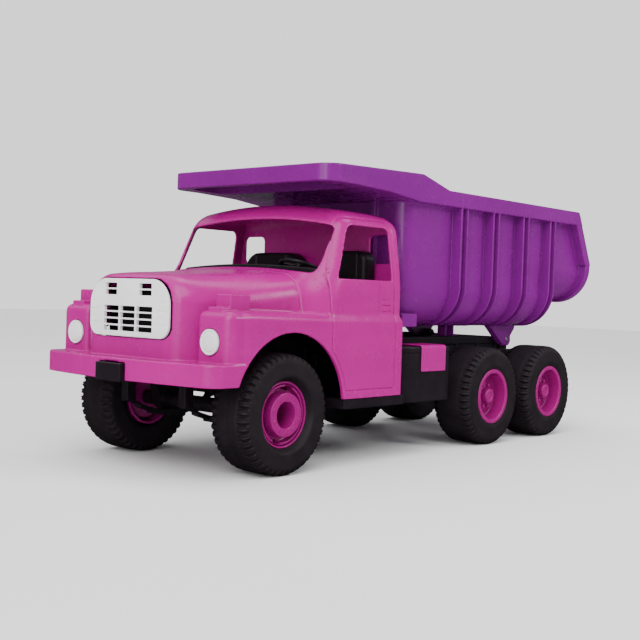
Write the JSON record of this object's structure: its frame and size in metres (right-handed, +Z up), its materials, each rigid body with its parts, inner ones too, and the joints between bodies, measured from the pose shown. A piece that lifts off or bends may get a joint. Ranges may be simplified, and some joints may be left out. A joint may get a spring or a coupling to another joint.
{
  "type": "push along toy dump truck",
  "caption": "Push along toy tipper truck: bonneted cab with seats and steering wheel, ribbed bed with a cab canopy that tips on a rear hinge, chunky rolling wheels on steel axles.",
  "frame": {"origin": "under the middle of the truck's bounding box, on the floor the wheels stand on", "axes": "+Z up; the bonnet faces -Y, so Y runs along the truck's length; +X is the truck's own left side"},
  "size_m": [0.26, 0.7483, 0.3181],
  "materials": {
    "pink_plastic": "semi-gloss moulded plastic, bright magenta pink",
    "purple_plastic": "semi-gloss moulded plastic, purple",
    "black_plastic": "satin black moulded plastic",
    "white_plastic": "semi-gloss white moulded plastic",
    "tyre": "soft matte black tyre with block tread",
    "steel": "plain bright steel rod and fasteners"
  },
  "bodies": {
    "truck": {"axle_clip_front_left": "steel", "axle_clip_front_right": "steel", "axle_clip_mid_left": "steel", "axle_clip_mid_right": "steel", "axle_clip_rear_left": "steel", "axle_clip_rear_right": "steel", "axle_front": "steel", "axle_mid": "steel", "axle_rear": "steel", "bed_hinge_pin": "steel", "cab_body": "pink_plastic", "cab_floor": "black_plastic", "cab_screw_front_left": "steel", "cab_screw_front_right": "steel", "cab_screw_rear_left": "steel", "cab_screw_rear_right": "steel", "chassis_frame": "black_plastic", "dashboard": "black_plastic", "front_spring_left": "black_plastic", "front_spring_right": "black_plastic", "grille": "white_plastic", "headlight_left": "white_plastic", "headlight_right": "white_plastic", "running_board_left": "black_plastic", "running_board_right": "black_plastic", "seat_driver": "black_plastic", "seat_passenger": "black_plastic", "side_tank_left": "black_plastic", "side_tank_right": "black_plastic", "tank_cover_left": "pink_plastic", "tank_cover_right": "pink_plastic", "tow_block": "black_plastic"},
    "tipping_bed": {"dump_bed": "purple_plastic"},
    "steering": {"steering_wheel": "black_plastic"},
    "wheel_front_left": {"rim_front_left": "pink_plastic", "tyre_front_left": "tyre"},
    "wheel_front_right": {"rim_front_right": "pink_plastic", "tyre_front_right": "tyre"},
    "wheel_mid_left": {"rim_mid_left": "pink_plastic", "tyre_mid_left": "tyre"},
    "wheel_mid_right": {"rim_mid_right": "pink_plastic", "tyre_mid_right": "tyre"},
    "wheel_rear_left": {"rim_rear_left": "pink_plastic", "tyre_rear_left": "tyre"},
    "wheel_rear_right": {"rim_rear_right": "pink_plastic", "tyre_rear_right": "tyre"}
  },
  "joints": [
    {"name": "bed_tip", "type": "hinge", "parent": "truck", "child": "tipping_bed", "pos_m": [0, 0.2439, 0.1265], "axis": [-1, 0, 0], "range_deg": [0, 48]},
    {"name": "steering_turn", "type": "hinge", "parent": "truck", "child": "steering", "pos_m": [0.048, -0.1561, 0.2085], "axis": [0, 0.2924, 0.9563], "continuous": true},
    {"name": "wheel_front_left_roll", "type": "hinge", "parent": "truck", "child": "wheel_front_left", "pos_m": [0.1028, -0.2531, 0.06], "axis": [1, 0, 0], "continuous": true},
    {"name": "wheel_front_right_roll", "type": "hinge", "parent": "truck", "child": "wheel_front_right", "pos_m": [-0.1028, -0.2531, 0.06], "axis": [1, 0, 0], "continuous": true},
    {"name": "wheel_mid_left_roll", "type": "hinge", "parent": "truck", "child": "wheel_mid_left", "pos_m": [0.1028, 0.1189, 0.06], "axis": [1, 0, 0], "continuous": true},
    {"name": "wheel_mid_right_roll", "type": "hinge", "parent": "truck", "child": "wheel_mid_right", "pos_m": [-0.1028, 0.1189, 0.06], "axis": [1, 0, 0], "continuous": true},
    {"name": "wheel_rear_left_roll", "type": "hinge", "parent": "truck", "child": "wheel_rear_left", "pos_m": [0.1028, 0.2574, 0.06], "axis": [1, 0, 0], "continuous": true},
    {"name": "wheel_rear_right_roll", "type": "hinge", "parent": "truck", "child": "wheel_rear_right", "pos_m": [-0.1028, 0.2574, 0.06], "axis": [1, 0, 0], "continuous": true}
  ]
}
